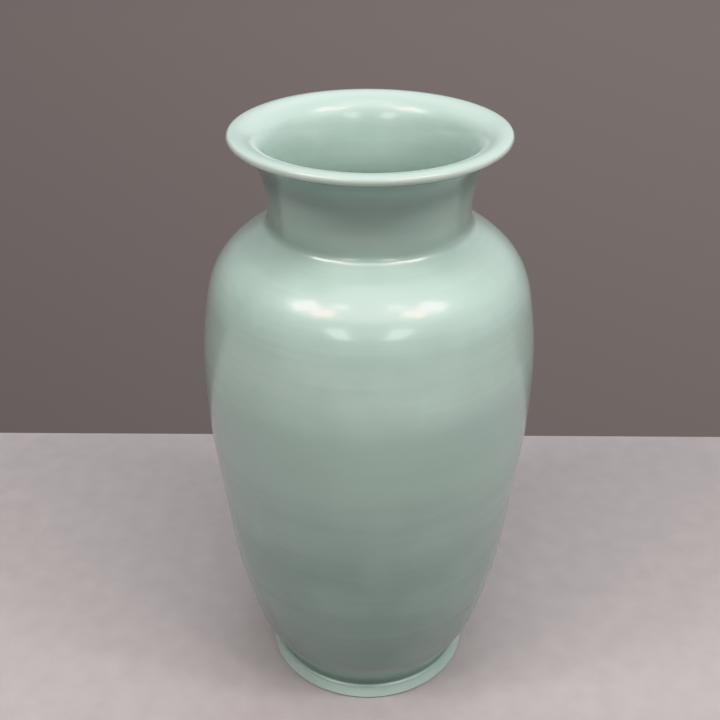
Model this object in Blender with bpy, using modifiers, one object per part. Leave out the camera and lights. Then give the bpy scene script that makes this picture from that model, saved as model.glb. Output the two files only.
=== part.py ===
"""A baluster vase in celadon-glazed porcelain, 400 mm tall, standing on the plane z = 0.

The clay is thrown as a foot ring and three wall sections, luted end to end with slip on
bevelled seams. A coat of glaze runs from just above the foot's contact face up the outside,
over the lip and down the inside across the floor, and a second one lines the recess under
the base. Every piece is turned about +Z from the same outline of the finished surface.
"""

import math
from collections import namedtuple

import bpy

# Driving dimensions, in metres.
HEIGHT = 0.400
LIP_RADIUS = 0.0840
LIP_BEAD = 0.0026  # radius of the rounded edge of the lip
GLAZE = 0.0006  # thickness of the glaze
SLIP = 0.0010  # thickness of a slip joint
GAP = 0.0003  # left between pieces that touch
BASE_HEIGHT = 0.0112  # underside of the vase's floor, above the ground
CONTACT_INNER, CONTACT_OUTER = 0.0665, 0.0716  # the flat ring that stands on the ground
FOOT_BORE = 0.0646  # radius inside the foot ring, at its top
FOOT_BORE_EDGE = 0.0006  # height of the bevel round the contact face's inner edge
GLAZE_EDGE = 0.0010  # height at which the glaze stops, outside and in the recess

SEGMENTS = 40  # facets round the axis
FACET_TURN = 18.0  # degrees that a facet of the outline may turn
FACET_LENGTH = 0.040
BEAD_TURN = 33.0  # degrees that a facet of the lip's bead may turn
HANDLE = 0.36  # length of a curve's handles, as a share of its chord
MERGE_DISTANCE = 0.00001  # joins the ends of a turn, and the points on the axis

# A station is a point that the outline passes through. Its heading is the outline's
# direction there on the way up the outside, in degrees from outwards horizontal, and its
# wall is the thickness from there to the inside surface.
Station = namedtuple("Station", "radius height heading wall", defaults=[None])

FOOT = [
    Station(0.0730, GLAZE_EDGE, 112),
    Station(0.0709, 0.0086, 98),  # top edge of the foot band
    Station(0.0693, 0.0105, 90),  # groove above the foot
    Station(0.0697, 0.0130, 59),  # where the body begins
]
BODY = [
    Station(0.0877, 0.0600, 75.5, wall=0.0070),
    Station(0.0995, 0.1300, 85, wall=0.0064),
    Station(0.1076, 0.2300, 90, wall=0.0060),  # belly
    Station(0.1032, 0.2900, 101, wall=0.0060),
    Station(0.0902, 0.3220, 135, wall=0.0062),  # shoulder
    Station(0.0665, 0.3407, 148, wall=0.0066),  # root of the neck
    Station(0.0623, 0.3483, 90, wall=0.0060),  # waist of the neck
    Station(0.0650, 0.3740, 76, wall=0.0055),  # where the neck starts to flare
]
LIP_UNDERSIDE_HEADING = 20
LIP_TOP_HEADING = 184
LIP_INNER_EDGE = Station(0.0732, 0.3989, 200)
FLOOR = [
    Station(0.0560, 0.0235, 196),  # where the wall turns into the floor
    Station(0.0, 0.0180, 180),
]

# A seam is a cone through the wall: its height at the outside surface, and how much
# higher it is at the inside surface, so that one section centres on the next.
Seam = namedtuple("Seam", "height rise")

FOOT_SEAM = Seam(0.0104, 0.0)
BELLY_SEAM = Seam(0.2120, 0.0020)
NECK_SEAM = Seam(0.3445, 0.0015)


def inside_station(station):
    """The station behind this one on the inside surface, met on the way down."""
    across = math.radians(station.heading)
    return Station(
        station.radius - station.wall * math.sin(across),
        station.height + station.wall * math.cos(across),
        station.heading + 180,
    )


def bead_station(heading):
    """The point of the lip's bead where the outline has this heading."""
    outwards = math.radians(heading - 90)
    return Station(
        LIP_RADIUS - LIP_BEAD + LIP_BEAD * math.cos(outwards),
        HEIGHT - LIP_BEAD + LIP_BEAD * math.sin(outwards),
        heading,
    )


def turn_between(first, second):
    """How far one heading is from another, in degrees."""
    return abs((second - first + 180) % 360 - 180)


def curve_between(start, end):
    """Points of the cubic from one station to the next, without the last."""
    across, up = end.radius - start.radius, end.height - start.height
    chord = math.hypot(across, up)
    chord_heading = math.degrees(math.atan2(up, across))
    turn = turn_between(start.heading, chord_heading) + turn_between(chord_heading, end.heading)
    steps = math.ceil(max(turn / FACET_TURN, chord / FACET_LENGTH))
    handles = []
    for station, reach in ((start, HANDLE * chord), (end, -HANDLE * chord)):
        heading = math.radians(station.heading)
        handle = (reach * math.cos(heading), reach * math.sin(heading))
        handles.append((station.radius + handle[0], station.height + handle[1]))
    controls = [(start.radius, start.height), *handles, (end.radius, end.height)]
    points = []
    for step in range(steps):
        t = step / steps
        weights = ((1 - t) ** 3, 3 * t * (1 - t) ** 2, 3 * t * t * (1 - t), t**3)
        points.append(tuple(sum(w * c[i] for w, c in zip(weights, controls)) for i in (0, 1)))
    return points


def lip_bead():
    """Points round the bead, from the underside of the lip to its top, without the last."""
    sweep = LIP_TOP_HEADING - LIP_UNDERSIDE_HEADING
    steps = math.ceil(sweep / BEAD_TURN)
    stations = [bead_station(LIP_UNDERSIDE_HEADING + sweep * step / steps) for step in range(steps)]
    return [(station.radius, station.height) for station in stations]


def finished_surface():
    """The glazed outline, from the foot's edge over the lip to the middle of the floor."""
    outside = [*FOOT, *BODY, bead_station(LIP_UNDERSIDE_HEADING)]
    inside = [bead_station(LIP_TOP_HEADING), LIP_INNER_EDGE, *map(inside_station, reversed(BODY)), *FLOOR]
    points = []
    for start, end in zip(outside, outside[1:]):
        points += curve_between(start, end)
    points += lip_bead()
    for start, end in zip(inside, inside[1:]):
        points += curve_between(start, end)
    return points + [(FLOOR[-1].radius, FLOOR[-1].height)]


def sunk(points, depth):
    """The outline moved this far into the clay, which is on its left."""
    moved = []
    last = len(points) - 1
    for i, (radius, height) in enumerate(points):
        before, after = points[max(i - 1, 0)], points[min(i + 1, last)]
        across, up = after[0] - before[0], after[1] - before[1]
        length = math.hypot(across, up)
        moved.append((radius - depth * up / length, height + depth * across / length))
    if points[last][0] == 0:
        moved[last] = (0.0, moved[last][1])
    return moved


def split_at_top(points):
    """The outline's outside and inside, each from its bottom to the top of the lip."""
    top = max(range(len(points)), key=lambda i: points[i][1])
    return points[: top + 1], points[top:][::-1]


def radius_at(side, height):
    """Radius of one side of the outline at a height."""
    for (low_radius, low), (high_radius, high) in zip(side, side[1:]):
        if low <= height <= high:
            return low_radius + (high_radius - low_radius) * (height - low) / (high - low)
    raise ValueError(f"the outline doesn't reach {height} m")


def stretch(side, low, high):
    """One side of the outline between two heights, from the bottom up."""
    ends = [(radius_at(side, height), height) for height in (low, high)]
    between = [point for point in side if low < point[1] < high]
    return [ends[0], *between, ends[1]]


def seam_faces(seam, side_index):
    """Heights of a seam's lower clay, slip and upper clay faces, outside (0) or inside (1)."""
    middle = seam.height + seam.rise * side_index
    half = SLIP / 2
    return middle - half - GAP, middle - half, middle + half, middle + half + GAP


def slip_profile(sides, seam):
    """The closed ring of slip in a seam that goes right through the wall."""
    corners = []
    for side, side_index in ((sides[1], 1), (sides[0], 0)):
        _, low, high, _ = seam_faces(seam, side_index)
        corners.append([(radius_at(side, low), low), (radius_at(side, high), high)])
    inner, outer = corners
    return inner + outer[::-1]


def wall_profile(sides, lower_seam, upper_seam):
    """The closed section of wall between two seams."""
    inner, outer = (
        stretch(
            sides[side_index],
            seam_faces(lower_seam, side_index)[3],
            seam_faces(upper_seam, side_index)[0],
        )
        for side_index in (1, 0)
    )
    return inner + outer[::-1]


def neck_profile(sides):
    """The closed section above the neck's seam, lip included."""
    outer, inner = (
        stretch(side, seam_faces(NECK_SEAM, side_index)[3], side[-1][1])
        for side_index, side in enumerate(sides)
    )
    return inner + outer[-2::-1]


def lower_body_profile(sides):
    """The bottom section, open at the axis, from the floor's top to its underside."""
    outside, inside = sides
    inner = stretch(inside, inside[0][1], seam_faces(BELLY_SEAM, 1)[0])
    outer = stretch(outside, BASE_HEIGHT, seam_faces(BELLY_SEAM, 0)[0])
    return inner + outer[::-1] + [(0.0, BASE_HEIGHT)]


def foot_ring_profile(sides):
    """The closed foot ring, with its flat contact face at the bottom."""
    top = seam_faces(FOOT_SEAM, 0)[0]
    outer = stretch(sides[0], sides[0][0][1], top)
    contact = [
        (CONTACT_OUTER, 0.0),
        (CONTACT_INNER, 0.0),
        (CONTACT_INNER - FOOT_BORE_EDGE, FOOT_BORE_EDGE),
    ]
    return outer[::-1] + contact + [(FOOT_BORE, top)]


def foot_slip_profile(sides):
    """The closed ring of slip between the foot ring and the body's underside."""
    _, low, high, _ = seam_faces(FOOT_SEAM, 0)
    outside = sides[0]
    return [
        (radius_at(outside, high), high),
        (radius_at(outside, low), low),
        (FOOT_BORE, low),
        (FOOT_BORE, high),
    ]


def base_glaze_profile():
    """The glaze in the recess: across the base and down inside the foot ring."""
    ceiling = BASE_HEIGHT - GAP
    slope = (CONTACT_INNER - FOOT_BORE_EDGE - FOOT_BORE) / (FOOT_SEAM.height - FOOT_BORE_EDGE)
    top_radius = FOOT_BORE - GAP
    edge_radius = top_radius + slope * (FOOT_SEAM.height - GLAZE_EDGE)
    return [
        (0.0, ceiling),
        (top_radius, ceiling),
        (edge_radius, GLAZE_EDGE),
        (edge_radius - GLAZE, GLAZE_EDGE),
        (top_radius - GLAZE, ceiling - GLAZE),
        (0.0, ceiling - GLAZE),
    ]


def clear_scene():
    for obj in list(bpy.data.objects):
        bpy.data.objects.remove(obj, do_unlink=True)


def make_material(name, colour, roughness, coat):
    material = bpy.data.materials.new(name)
    material.use_nodes = True
    shader = material.node_tree.nodes["Principled BSDF"]
    shader.inputs["Base Color"].default_value = (*colour, 1.0)
    shader.inputs["Roughness"].default_value = roughness
    shader.inputs["Metallic"].default_value = 0.0
    shader.inputs["Coat Weight"].default_value = coat
    material.diffuse_color = (*colour, 1.0)
    return material


def turn_piece(name, profile, material, collection):
    """Turns a profile about +Z. A profile that stays off the axis is a closed ring."""
    edges = [(i, i + 1) for i in range(len(profile) - 1)]
    if profile[0][0] > 0:
        edges.append((len(profile) - 1, 0))
    mesh = bpy.data.meshes.new(name)
    mesh.from_pydata([(radius, 0.0, height) for radius, height in profile], edges, [])
    mesh.materials.append(material)
    piece = bpy.data.objects.new(name, mesh)
    collection.objects.link(piece)
    turn = piece.modifiers.new("turn", "SCREW")
    turn.axis = "Z"
    turn.steps = SEGMENTS
    turn.render_steps = SEGMENTS
    turn.use_merge_vertices = True
    turn.merge_threshold = MERGE_DISTANCE
    turn.use_smooth_shade = True
    return piece


def build_vase():
    clear_scene()
    collection = bpy.data.collections.new("porcelain_vase")
    bpy.context.scene.collection.children.link(collection)

    glaze = make_material("celadon_glaze", (0.42, 0.53, 0.47), 0.16, coat=0.5)
    biscuit = make_material("porcelain_biscuit", (0.74, 0.72, 0.68), 0.75, coat=0.0)
    slip = make_material("porcelain_slip", (0.62, 0.60, 0.57), 0.85, coat=0.0)

    surface = finished_surface()
    clay = split_at_top(sunk(surface, GLAZE + GAP))
    pieces = [
        ("foot_ring", foot_ring_profile(clay), biscuit),
        ("lower_body", lower_body_profile(clay), biscuit),
        ("upper_body", wall_profile(clay, BELLY_SEAM, NECK_SEAM), biscuit),
        ("neck", neck_profile(clay), biscuit),
        ("foot_slip_joint", foot_slip_profile(clay), slip),
        ("belly_slip_joint", slip_profile(clay, BELLY_SEAM), slip),
        ("neck_slip_joint", slip_profile(clay, NECK_SEAM), slip),
        ("glaze_coat", surface[::-1] + sunk(surface, GLAZE), glaze),
        ("base_glaze", base_glaze_profile(), glaze),
    ]
    for name, profile, material in pieces:
        turn_piece(name, profile, material, collection)


build_vase()
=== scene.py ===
"""The looks of the celadon vase: every clay, slip and glaze piece turned again from its CAD
outline with a fine, slightly uneven surface, on a pale table under eight ceiling panels."""

import math
from collections import namedtuple

import bmesh
import bpy
import numpy as np
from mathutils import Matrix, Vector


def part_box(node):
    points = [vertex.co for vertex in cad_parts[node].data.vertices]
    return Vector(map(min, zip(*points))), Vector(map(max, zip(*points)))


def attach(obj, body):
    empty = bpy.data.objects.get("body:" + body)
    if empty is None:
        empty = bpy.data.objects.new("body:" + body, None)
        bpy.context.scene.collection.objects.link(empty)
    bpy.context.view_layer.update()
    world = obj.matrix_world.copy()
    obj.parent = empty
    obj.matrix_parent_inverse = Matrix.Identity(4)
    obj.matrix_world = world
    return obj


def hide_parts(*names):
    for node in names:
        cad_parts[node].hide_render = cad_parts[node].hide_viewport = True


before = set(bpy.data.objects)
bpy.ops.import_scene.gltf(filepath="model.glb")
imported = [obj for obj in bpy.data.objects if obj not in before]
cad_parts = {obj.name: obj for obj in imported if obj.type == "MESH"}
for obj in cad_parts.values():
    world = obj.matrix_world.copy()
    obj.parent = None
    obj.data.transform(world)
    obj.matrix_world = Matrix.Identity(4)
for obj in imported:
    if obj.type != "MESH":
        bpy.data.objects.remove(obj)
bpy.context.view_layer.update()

MM = 0.001

# Reading the CAD outlines, in metres and radians.
SAME_POINT = 0.002 * MM
CORNER = math.radians(40)  # a sharper turn of an outline is a real corner
DENSE = 24  # points of a smooth curve for each facet of the CAD outline

# Turning the pieces.
SEGMENTS = 144
VISIBLE_STEP = 2.5 * MM
HIDDEN_STEP = 8 * MM
BEND = math.radians(9)  # most that the outline turns from one point to the next

# What the thrower's hands and the kiln leave in a true shape.
OVAL = 0.0016  # share of the radius, at the lip
OVAL_TURN = 0.7  # radians
LIP_WAVE = 0.12 * MM
LIP_WAVE_TURN = 0.4  # radians
RING_HEIGHT = 0.009 * MM  # of the trimming rings, each
RING_SPACINGS = (6 * MM, 17 * MM)
RING_COUNT = 14
SEED = 11

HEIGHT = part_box("glaze_coat")[1].z
FOOT_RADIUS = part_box("foot_ring")[1].x
GROOVE_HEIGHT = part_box("lower_body")[0].z
GLAZE_OVER_CLAY = 0.9 * MM
LIP_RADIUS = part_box("neck")[1].x + GLAZE_OVER_CLAY
NECK_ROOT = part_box("neck")[0].z


# Shapes


def cad_outline(node):
    """The points that a CAD node is turned from, in order, as rows of radius and height.

    Also says whether the outline is open: it then runs from the axis round to the axis.
    A flat disc has no point at its centre, so that one is added.
    """
    shape = bmesh.new()
    shape.from_mesh(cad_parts[node].data)
    bmesh.ops.remove_doubles(shape, verts=shape.verts, dist=SAME_POINT)
    in_plane = [v for v in shape.verts if abs(v.co.y) < SAME_POINT and v.co.x > -SAME_POINT]
    neighbours = {}
    for v in in_plane:
        others = [edge.other_vert(v) for edge in v.link_edges]
        neighbours[v] = [other for other in others if other in in_plane]
    ends = [v for v in in_plane if len(neighbours[v]) == 1]
    walk = [max(ends or in_plane, key=lambda v: v.co.z)]
    while True:
        onward = [v for v in neighbours[walk[-1]] if v not in walk]
        if not onward:
            break
        walk.append(onward[0])
    points = np.array([(v.co.x, v.co.z) for v in walk])
    shape.free()
    if ends:
        centres = [[(0.0, point[1])] if point[0] > SAME_POINT else [] for point in points[[0, -1]]]
        points[[0, -1], 0] *= points[[0, -1], 0] > SAME_POINT
        points = np.array([*centres[0], *points, *centres[1]])
    return points, bool(ends)


def corner_places(points, open_ended):
    """Where the outline turns by more than CORNER."""
    before = points - np.roll(points, 1, axis=0)
    after = np.roll(points, -1, axis=0) - points
    turns = np.arctan2(after[:, 1], after[:, 0]) - np.arctan2(before[:, 1], before[:, 0])
    sharp = np.abs((turns + math.pi) % (2 * math.pi) - math.pi) > CORNER
    if open_ended:
        sharp[[0, -1]] = False
    return list(np.flatnonzero(sharp))


def second_slopes(knots, values):
    """The second derivatives of the natural cubic spline through the values."""
    count = len(knots)
    gaps = np.diff(knots)
    system, right = np.eye(count), np.zeros((count, 2))
    for i in range(1, count - 1):
        system[i, i - 1 : i + 2] = gaps[i - 1], 2 * (gaps[i - 1] + gaps[i]), gaps[i]
        right[i] = 6 * (
            (values[i + 1] - values[i]) / gaps[i] - (values[i] - values[i - 1]) / gaps[i - 1]
        )
    return np.linalg.solve(system, right)


def smooth_curve(points, level_start, level_end):
    """A dense curve with no break in its curvature, through the points of one stretch.

    A level end is on the axis, where the curve crosses to the other side horizontally.
    """
    head = points[:0:-1] * (-1, 1) if level_start else points[:0]
    tail = points[-2::-1] * (-1, 1) if level_end else points[:0]
    line = np.vstack([head, points, tail])
    knots = np.concatenate([[0], np.cumsum(np.hypot(*np.diff(line, axis=0).T))])
    slopes = second_slopes(knots, line)
    curve = []
    for i in range(len(head), len(head) + len(points) - 1):
        gap = knots[i + 1] - knots[i]
        for t in np.arange(DENSE) / DENSE:
            s = 1 - t
            bow = (s**3 - s) * slopes[i] + (t**3 - t) * slopes[i + 1]
            curve.append(s * line[i] + t * line[i + 1] + bow * gap**2 / 6)
    return np.array(curve + [points[-1]])


def resampled(curve, longest):
    """Points along the curve, no more than `longest` and a turn of BEND apart."""
    steps = np.diff(curve, axis=0)
    heading = np.unwrap(np.arctan2(steps[:, 1], steps[:, 0]))
    bend = np.abs(np.gradient(heading)) if len(heading) > 1 else np.zeros(1)
    effort = np.concatenate([[0], np.cumsum(np.hypot(*steps.T) / longest + bend / BEND)])
    places = np.linspace(0, effort[-1], math.ceil(effort[-1]) + 1)
    return np.column_stack([np.interp(places, effort, curve[:, axis]) for axis in (0, 1)])


def fine_outline(node):
    """The node's outline with its curves smooth, and a flag on each point of the surface
    that shows: the stretch over the lip, on a piece that is glazed all over."""
    points, open_ended = cad_outline(node)
    corners = corner_places(points, open_ended)
    if open_ended:
        ends = [0, *corners, len(points) - 1]
    else:
        points = np.roll(points, -corners[0], axis=0)
        points = np.vstack([points, points[:1]])
        ends = [place - corners[0] for place in corners] + [len(points) - 1]
    stretches = [points[first : last + 1] for first, last in zip(ends, ends[1:])]
    outline, shown = [], []
    for index, stretch in enumerate(stretches):
        starts_level = open_ended and index == 0
        ends_level = open_ended and index == len(stretches) - 1
        visible = node == "glaze_coat" and stretch[:, 1].max() >= HEIGHT - SAME_POINT
        curve = smooth_curve(stretch, starts_level, ends_level)
        fine = resampled(curve, VISIBLE_STEP if visible else HIDDEN_STEP)
        outline.append(fine[:-1])
        shown += [visible] * (len(fine) - 1)
    if open_ended:
        outline.append(points[-1:])
        shown.append(False)
    return np.vstack(outline), np.array(shown), open_ended


def ring_relief(heights, angles):
    """How far the trimming rings stand out, at each height and angle."""
    draw = np.random.default_rng(SEED)
    relief = np.zeros((len(heights), len(angles)))
    for _ in range(RING_COUNT):
        spacing = draw.uniform(*RING_SPACINGS)
        phase, drift = draw.uniform(0, 2 * math.pi, 2)
        turns = draw.integers(1, 4)
        wobble = 0.5 * np.sin(turns * angles + drift)[None, :]
        strength = 0.6 + 0.4 * np.sin(angles + drift)[None, :]
        relief += strength * np.sin(2 * math.pi * heights[:, None] / spacing + phase + wobble)
    return RING_HEIGHT * relief


def turned(name, node):
    """A new piece in the place of a CAD node, turned from its outline."""
    outline, shown, open_ended = fine_outline(node)
    angles = np.arange(SEGMENTS) * 2 * math.pi / SEGMENTS
    radius = np.repeat(outline[:, :1], SEGMENTS, axis=1)
    height = np.repeat(outline[:, 1:], SEGMENTS, axis=1)

    along = np.gradient(outline, axis=0)
    along /= np.hypot(*along.T)[:, None]
    outward = np.column_stack([-along[:, 1], along[:, 0]])
    widest = outline[:, 0].argmax()
    outward *= np.sign(outward[widest, 0]) or 1
    relief = ring_relief(outline[:, 1], angles) * shown[:, None]
    relief *= np.clip(outline[:, :1] / FOOT_RADIUS, 0, 1)
    radius = radius + relief * outward[:, :1]
    height = height + relief * outward[:, 1:]

    rise = np.clip(outline[:, 1:] / HEIGHT, 0, 1) ** 2
    radius = radius * (1 + OVAL * rise * np.cos(2 * angles - OVAL_TURN)[None, :])
    height = height + LIP_WAVE * rise**2 * (np.cos(3 * angles + LIP_WAVE_TURN) - 1)[None, :]

    points = np.stack([radius * np.cos(angles), radius * np.sin(angles), height], axis=2)
    shape = bmesh.new()
    rings = []
    for row, ring in zip(outline, points):
        if row[0] < SAME_POINT:
            rings.append([shape.verts.new((0, 0, ring[0][2]))])
        else:
            rings.append([shape.verts.new(point) for point in ring])
    pairs = list(zip(rings, rings[1:]))
    if not open_ended:
        pairs.append((rings[-1], rings[0]))
    for lower, upper in pairs:
        for k in range(SEGMENTS):
            corners = [lower[k % len(lower)], lower[(k + 1) % len(lower)]]
            corners += [upper[(k + 1) % len(upper)], upper[k % len(upper)]]
            shape.faces.new(dict.fromkeys(corners))
    bmesh.ops.recalc_face_normals(shape, faces=shape.faces)
    mesh = bpy.data.meshes.new(name)
    shape.to_mesh(mesh)
    shape.free()
    mesh.shade_smooth()
    mesh.set_sharp_from_angle(angle=CORNER)
    piece = bpy.data.objects.new(name, mesh)
    bpy.context.scene.collection.objects.link(piece)
    return piece


# Materials


class Nodes:
    """Short calls for making one material's nodes."""

    def __init__(self, name):
        self.material = bpy.data.materials.new(name)
        self.material.use_nodes = True
        self.tree = self.material.node_tree
        self.shader = self.tree.nodes["Principled BSDF"]
        self.place = self.add("ShaderNodeTexCoord").outputs["Object"]

    def add(self, kind, inputs=None, **settings):
        made = self.tree.nodes.new(kind)
        for key, value in settings.items():
            setattr(made, key, value)
        for key, value in (inputs or {}).items():
            self.set(made.inputs[key], value)
        return made

    def set(self, socket, value):
        if isinstance(value, bpy.types.NodeSocket):
            self.tree.links.new(value, socket)
        else:
            socket.default_value = value

    def math(self, operation, first, second=0.0, clamp=False):
        made = self.add("ShaderNodeMath", {0: first, 1: second}, operation=operation)
        made.use_clamp = clamp
        return made.outputs[0]

    def noise(self, stretch, scale, detail=3.0, roughness=0.5):
        """Noise from about -1 to 1; `scale` is in waves a metre."""
        mapping = self.add("ShaderNodeMapping", {"Vector": self.place, "Scale": stretch})
        made = self.add(
            "ShaderNodeTexNoise",
            {
                "Vector": mapping.outputs[0],
                "Scale": scale,
                "Detail": detail,
                "Roughness": roughness,
            },
        )
        centred = self.math("SUBTRACT", made.outputs["Fac"], 0.5)
        return self.math("MULTIPLY", centred, 2.0)

    def ramp(self, value, stops):
        """Colours or grey levels along a value, from (place, colour) stops."""
        made = self.add("ShaderNodeValToRGB", {"Fac": value})
        made.color_ramp.interpolation = "EASE"
        elements = made.color_ramp.elements
        while len(elements) < len(stops):
            elements.new(1.0)
        for element, (place, colour) in zip(elements, stops):
            element.position = place
            shade = colour if isinstance(colour, tuple) else (colour,) * 3
            element.color = (*shade, 1.0)
        return made.outputs["Color"]

    def step(self, value, low, high):
        """0 below `low`, 1 above `high`, smooth between."""
        made = self.add(
            "ShaderNodeMapRange",
            {"Value": value, "From Min": low, "From Max": high},
            interpolation_type="SMOOTHSTEP",
        )
        return made.outputs["Result"]

    def mix(self, share, first, second, blend="MIX"):
        made = self.add("ShaderNodeMix", data_type="RGBA", blend_type=blend)
        for place, value in ((0, share), (6, first), (7, second)):
            self.set(made.inputs[place], (*value, 1.0) if isinstance(value, tuple) else value)
        return made.outputs[2]

    def height(self):
        return self.add("ShaderNodeSeparateXYZ", {0: self.place}).outputs["Z"]

    def radius(self):
        level = self.add(
            "ShaderNodeVectorMath", {0: self.place, 1: (1, 1, 0)}, operation="MULTIPLY"
        )
        length = self.add(
            "ShaderNodeVectorMath", {0: level.outputs["Vector"]}, operation="LENGTH"
        )
        return length.outputs["Value"]

    def facing_axis(self):
        """1 where the surface faces the vase's axis, -1 where it faces away from it."""
        coordinates = self.add("ShaderNodeTexCoord")
        level = self.add(
            "ShaderNodeVectorMath", {0: self.place, 1: (-1, -1, 0)}, operation="MULTIPLY"
        )
        inward = self.add(
            "ShaderNodeVectorMath", {0: level.outputs["Vector"]}, operation="NORMALIZE"
        )
        made = self.add(
            "ShaderNodeVectorMath",
            {0: inward.outputs["Vector"], 1: coordinates.outputs["Normal"]},
            operation="DOT_PRODUCT",
        )
        return made.outputs["Value"]


# The glaze's tones, from thin to deep; the depth that picks among them also carries painted shade
# and painted light.
THIN_GLAZE = (0.60, 0.735, 0.695)
GLAZE = (0.41, 0.53, 0.49)
DEEP_GLAZE = (0.245, 0.34, 0.315)
BARE_LIP = (0.66, 0.65, 0.61)  # where the glaze is thin on the lip's edge
GLAZE_ROUGHNESS = 0.36
COAT_ROUGHNESS = 0.155
COAT_IOR = 1.5
GLAZE_BUMP = 0.012 * MM

# How deep the glaze looks, from 0, thin, to 1, deep where the glaze pools, by share of the vase's
# height: real pooling in the foot's groove, pooling and painted shade at the neck-root crease,
# painted shade deeper over the lower body and the neck, and painted light paler on the shoulder.
POOLING_AND_PAINTED_SHADE = [
    (0.0, 0.22),
    (0.018, 0.30),
    (GROOVE_HEIGHT / HEIGHT, 0.92),
    (0.07, 0.86),
    (0.32, 0.76),
    (0.45, 0.64),
    (0.56, 0.54),
    (0.69, 0.31),
    (0.80, 0.27),
    ((NECK_ROOT - 4 * MM) / HEIGHT, 0.32),
    ((NECK_ROOT + 1 * MM) / HEIGHT, 0.55),
    ((NECK_ROOT + 9 * MM) / HEIGHT, 0.36),
    (0.93, 0.34),
    (1.0, 0.15),
]
# Painted shadow on the neck under the lip, added to the depth there.
PAINTED_LIP_SHADOW = [(0.88, 0.0), (0.95, 0.30), (0.978, 0.38), (0.988, 0.0)]  # what is added there
# Painted light: how much paler the glaze is painted inside the mouth.
INSIDE_PAINTED_LIGHT = 0.1
WORN_SHARE = 0.35


def celadon_glaze():
    """Milky celadon: pale where it thins, deeper where it pools, with faint bands, and painted
    shade and painted light: deeper on the lower body, on the neck and in a painted shadow under
    the lip, paler on the shoulder and inside the mouth.
    """
    m = Nodes("celadon_glaze")
    height, radius = m.height(), m.radius()

    mottle = m.noise((1, 1, 1), 28, detail=4)
    bands = m.noise((6, 6, 160), 1, detail=3, roughness=0.6)
    fine_bands = m.noise((10, 10, 900), 1, detail=2)

    # The depth mixes the glaze's real thickness with painted shade and painted light, set by
    # height, under the lip and inside the mouth.
    depth = m.math("ADD", 0.5, m.math("MULTIPLY", mottle, 0.10))
    depth = m.math("ADD", depth, m.math("MULTIPLY", bands, 0.05))
    depth = m.math("ADD", depth, m.math("MULTIPLY", fine_bands, 0.03))
    share_of_height = m.math("DIVIDE", height, HEIGHT)
    # Real pooling plus painted shade and painted light, by height.
    pooling_and_painted_shade = m.ramp(share_of_height, POOLING_AND_PAINTED_SHADE)
    depth = m.math("ADD", depth, m.math("SUBTRACT", pooling_and_painted_shade, 0.5))
    inside = m.step(m.facing_axis(), -0.1, 0.5)
    # Painted shadow under the lip, on the outside only.
    painted_lip_shadow = m.ramp(share_of_height, PAINTED_LIP_SHADOW)
    painted_lip_shadow = m.math("MULTIPLY", painted_lip_shadow, m.math("SUBTRACT", 1.0, inside))
    depth = m.math("ADD", depth, painted_lip_shadow)
    # Inside the mouth painted paler, as painted light.
    depth = m.math("SUBTRACT", depth, m.math("MULTIPLY", inside, INSIDE_PAINTED_LIGHT), clamp=True)
    colour = m.ramp(depth, [(0.0, THIN_GLAZE), (0.5, GLAZE), (1.0, DEEP_GLAZE)])

    at_lip = m.step(height, HEIGHT - 6 * MM, HEIGHT - 3.5 * MM)
    at_edge = m.step(radius, LIP_RADIUS - 1.3 * MM, LIP_RADIUS)
    worn = m.math("MULTIPLY", at_lip, at_edge)
    colour = m.mix(m.math("MULTIPLY", worn, WORN_SHARE), colour, BARE_LIP)

    m.set(m.shader.inputs["Base Color"], colour)
    roughness = m.math("ADD", GLAZE_ROUGHNESS, m.math("MULTIPLY", bands, 0.04))
    m.set(m.shader.inputs["Roughness"], roughness)
    m.shader.inputs["Coat Weight"].default_value = 1.0
    m.shader.inputs["Coat Roughness"].default_value = COAT_ROUGHNESS
    m.shader.inputs["Coat IOR"].default_value = COAT_IOR

    relief = m.math("ADD", bands, m.math("MULTIPLY", fine_bands, 0.35))
    relief = m.math("ADD", relief, m.math("MULTIPLY", mottle, 0.8))
    bump = m.add("ShaderNodeBump", {"Strength": 1.0, "Distance": GLAZE_BUMP, "Height": relief})
    m.set(m.shader.inputs["Normal"], bump.outputs[0])
    m.set(m.shader.inputs["Coat Normal"], bump.outputs[0])
    return m.material


BISCUIT = (0.74, 0.72, 0.68)
DARK_FOOT_EDGE = (0.16, 0.085, 0.05)  # dark brown on the bare clay's lowest millimetres, near the ground below the glaze
SPECK = (0.45, 0.38, 0.32)


def porcelain_biscuit():
    """Bare fired clay: white and grainy, and dark brown over its lowest few millimetres where it
    shows on the foot.
    """
    m = Nodes("porcelain_biscuit")
    grain = m.noise((1, 1, 1), 900, detail=5, roughness=0.7)
    patches = m.noise((1, 1, 1), 60, detail=3)
    # Dark brown over the lowest 1 to 3 mm of bare clay, next to the ground.
    near_ground = m.math("SUBTRACT", 1.0, m.step(m.height(), 1.0 * MM, 3.0 * MM))
    patchy = m.math("ADD", 0.85, m.math("MULTIPLY", patches, 0.3))
    dark_foot_share = m.math("MULTIPLY", near_ground, patchy)
    colour = m.mix(dark_foot_share, BISCUIT, DARK_FOOT_EDGE)
    speckled = m.mix(m.math("MULTIPLY", grain, 0.25, clamp=True), colour, SPECK)
    m.set(m.shader.inputs["Base Color"], speckled)
    m.set(m.shader.inputs["Roughness"], m.math("ADD", 0.82, m.math("MULTIPLY", grain, 0.08)))
    bump = m.add("ShaderNodeBump", {"Strength": 1.0, "Distance": 0.05 * MM, "Height": grain})
    m.set(m.shader.inputs["Normal"], bump.outputs[0])
    return m.material


SLIP_TINTS = (0.54, 0.52, 0.49), (0.68, 0.66, 0.62)


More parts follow.
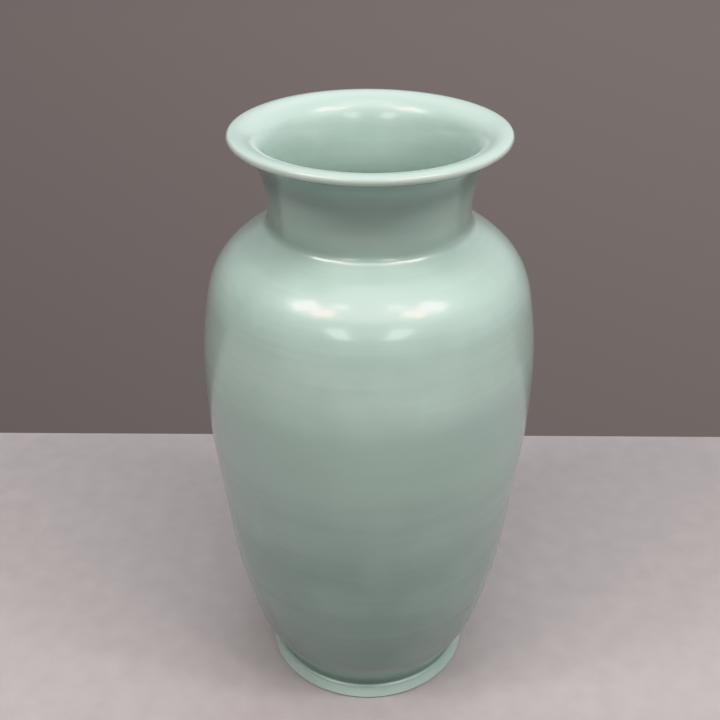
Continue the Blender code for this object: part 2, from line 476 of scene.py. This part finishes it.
def fired_slip():
    """The joints' slip: greyer and coarser than the thrown clay."""
    m = Nodes("fired_slip")
    grain = m.noise((1, 1, 1), 1400, detail=4, roughness=0.8)
    smears = m.noise((1, 1, 12), 45, detail=3)
    smeared = m.math("ADD", 0.5, m.math("MULTIPLY", smears, 0.5), clamp=True)
    colour = m.mix(smeared, *SLIP_TINTS)
    m.set(m.shader.inputs["Base Color"], colour)
    m.set(m.shader.inputs["Roughness"], m.math("ADD", 0.88, m.math("MULTIPLY", grain, 0.07)))
    bump = m.add("ShaderNodeBump", {"Strength": 1.0, "Distance": 0.08 * MM, "Height": grain})
    m.set(m.shader.inputs["Normal"], bump.outputs[0])
    return m.material


TABLE_TINTS = (0.44, 0.418, 0.425), (0.475, 0.45, 0.46)


def table_top():
    """A pale, matt table with a faint mottle."""
    m = Nodes("table_top")
    mottle = m.noise((1, 1, 1), 60, detail=4)
    colour = m.mix(m.math("ADD", 0.5, mottle, clamp=True), *TABLE_TINTS)
    m.set(m.shader.inputs["Base Color"], colour)
    m.shader.inputs["Roughness"].default_value = 0.75
    return m.material


# The room

DISPLAY_GAMMA = 0.75  # below 1 gives more contrast
TABLE_BACK = 0.648 * HEIGHT  # from the vase's axis to the table's far edge
TABLE_FRONT = 2.2
TABLE_WIDTH = 4.0
TABLE_THICKNESS = 0.03
LAMP_HEIGHT = 4.0 * HEIGHT
WHITE, WARM = (1.0, 0.98, 0.96), (1.0, 0.80, 0.72)

# Each ceiling lamp has a twin on the other side. Places are across and in front of the
# vase's axis, in metres.
Lamp = namedtuple("Lamp", "name across ahead width depth radiance colour")
LAMPS = [
    Lamp("outer", 0.98, 0.52, 0.50, 0.26, 25.0, WHITE),
    Lamp("inner", 0.74, 0.80, 0.40, 0.22, 20.0, WARM),
    Lamp("middle", 0.38, 0.60, 0.20, 0.12, 13.0, WHITE),
    Lamp("distant", 0.85, 2.30, 0.60, 1.20, 5.0, WHITE),
]

# Radiance of the plain walls by the height of the direction: -1 is straight down.
ROOM = [
    (-1.0, (0.18, 0.16, 0.155)),
    (-0.20, (0.222, 0.198, 0.193)),
    (0.05, (0.19, 0.18, 0.18)),
    (0.30, (0.11, 0.11, 0.11)),
    (1.0, (0.11, 0.11, 0.11)),
]
ROOM_BACK = 0.45  # how much brighter it is behind the vase, and darker in front
ROOM_RIGHT = 0.25  # how much brighter it is on the right, and darker on the left

# The bright parts of the room: elevation and azimuth of the middle in degrees, with 0 in
# front of the vase and 90 on its right, the cosine of the half angle, and the radiance.
Glow = namedtuple("Glow", "elevation azimuth edge radiance")
GLOWS = [
    Glow(70, 0, 0.88, 2.35),
    Glow(50, 55, 0.85, 0.50),
    Glow(50, -100, 0.85, 0.05),
    Glow(15, 90, 0.70, 0.45),
    Glow(15, -90, 0.70, 0.08),
    Glow(35, -145, 0.75, 0.42),
    Glow(35, 145, 0.75, 0.80),
    Glow(62, 180, 0.85, 0.85),
]


def table():
    """A pale table top that ends a little way behind the vase."""
    shape = bmesh.new()
    bmesh.ops.create_cube(shape, size=1.0)
    for v in shape.verts:
        v.co.x *= TABLE_WIDTH
        v.co.y = TABLE_BACK if v.co.y > 0 else -TABLE_FRONT
        v.co.z = 0.0 if v.co.z > 0 else -TABLE_THICKNESS
    mesh = bpy.data.meshes.new("table")
    shape.to_mesh(mesh)
    shape.free()
    mesh.materials.append(table_top())
    top = bpy.data.objects.new("table", mesh)
    bpy.context.scene.collection.objects.link(top)


def lamp_pair(lamp):
    """Two panels of even brightness that face straight down, left and right of the vase."""
    for side, word in ((-1, "left"), (1, "right")):
        light = bpy.data.lights.new(f"{lamp.name}_{word}", "AREA")
        light.shape = "RECTANGLE"
        light.size, light.size_y = lamp.width, lamp.depth
        light.energy = lamp.radiance * math.pi * lamp.width * lamp.depth
        light.color = lamp.colour
        panel = bpy.data.objects.new(light.name, light)
        panel.location = (side * lamp.across, -lamp.ahead, LAMP_HEIGHT)
        panel.visible_camera = False
        bpy.context.scene.collection.objects.link(panel)


def surroundings():
    """Soft light from a plain grey room, with the bright parts of its ceiling and walls."""
    world = bpy.data.worlds.new("room")
    world.use_nodes = True
    bpy.context.scene.world = world
    nodes, links = world.node_tree.nodes, world.node_tree.links
    direction = nodes.new("ShaderNodeTexCoord").outputs["Generated"]

    split = nodes.new("ShaderNodeSeparateXYZ")
    links.new(direction, split.inputs[0])
    upward = nodes.new("ShaderNodeMapRange")
    upward.inputs["From Min"].default_value = -1.0
    links.new(split.outputs["Z"], upward.inputs["Value"])
    ramp = nodes.new("ShaderNodeValToRGB")
    links.new(upward.outputs["Result"], ramp.inputs["Fac"])
    elements = ramp.color_ramp.elements
    while len(elements) < len(ROOM):
        elements.new(1.0)
    for element, (up, colour) in zip(elements, ROOM):
        element.position = (up + 1) / 2
        element.color = (*colour, 1.0)

    lean = nodes.new("ShaderNodeVectorMath")
    lean.operation = "DOT_PRODUCT"
    links.new(direction, lean.inputs[0])
    lean.inputs[1].default_value = (ROOM_RIGHT, ROOM_BACK, 0.0)
    strength = nodes.new("ShaderNodeMath")
    strength.inputs[1].default_value = 1.0
    links.new(lean.outputs["Value"], strength.inputs[0])
    walls = nodes.new("ShaderNodeVectorMath")
    walls.operation = "SCALE"
    links.new(ramp.outputs["Color"], walls.inputs[0])
    links.new(strength.outputs["Value"], walls.inputs["Scale"])

    total = walls.outputs["Vector"]
    for glow in GLOWS:
        up, round_axis = math.radians(glow.elevation), math.radians(glow.azimuth)
        level = math.cos(up)
        towards = nodes.new("ShaderNodeVectorMath")
        towards.operation = "DOT_PRODUCT"
        links.new(direction, towards.inputs[0])
        towards.inputs[1].default_value = (
            level * math.sin(round_axis), -level * math.cos(round_axis), math.sin(up)
        )
        fade = nodes.new("ShaderNodeMapRange")
        fade.interpolation_type = "SMOOTHSTEP"
        fade.inputs["From Min"].default_value = glow.edge
        links.new(towards.outputs["Value"], fade.inputs["Value"])
        added = nodes.new("ShaderNodeVectorMath")
        added.operation = "MULTIPLY_ADD"
        links.new(fade.outputs["Result"], added.inputs[0])
        added.inputs[1].default_value = (glow.radiance,) * 3
        links.new(total, added.inputs[2])
        total = added.outputs["Vector"]
    links.new(total, nodes["Background"].inputs["Color"])


EYE_AHEAD = 1.430 * HEIGHT  # of the vase's axis
EYE_HEIGHT = 1.453 * HEIGHT
LOOK_DOWN, LOOK_LEFT = 30.68, 0.58  # degrees
LENS, SENSOR = 50.0, 36.0  # mm


def camera():
    """The viewer stands at the table, a little under an arm's length away, looking down."""
    data = bpy.data.cameras.new("camera")
    data.lens, data.sensor_width = LENS, SENSOR
    eye = bpy.data.objects.new("camera", data)
    eye.location = (0.0, -EYE_AHEAD, EYE_HEIGHT)
    eye.rotation_euler = (math.radians(90 - LOOK_DOWN), 0.0, math.radians(LOOK_LEFT))
    bpy.context.scene.collection.objects.link(eye)
    bpy.context.scene.camera = eye


camera()
surroundings()
table()
for lamp in LAMPS:
    lamp_pair(lamp)
bpy.context.scene.view_settings.view_transform = "Khronos PBR Neutral"
bpy.context.scene.view_settings.gamma = DISPLAY_GAMMA

glaze, biscuit, slip = celadon_glaze(), porcelain_biscuit(), fired_slip()
finishes = {
    "foot_ring": ("biscuit", biscuit),
    "lower_body": ("biscuit", biscuit),
    "upper_body": ("biscuit", biscuit),
    "neck": ("biscuit", biscuit),
    "foot_slip_joint": ("slip", slip),
    "belly_slip_joint": ("slip", slip),
    "neck_slip_joint": ("slip", slip),
    "glaze_coat": ("glaze", glaze),
    "base_glaze": ("glaze", glaze),
}
for node, (slot, material) in finishes.items():
    piece = turned(f"turned_{node}", node)
    piece.data.materials.append(material)
    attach(piece, "root")
    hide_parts(node)
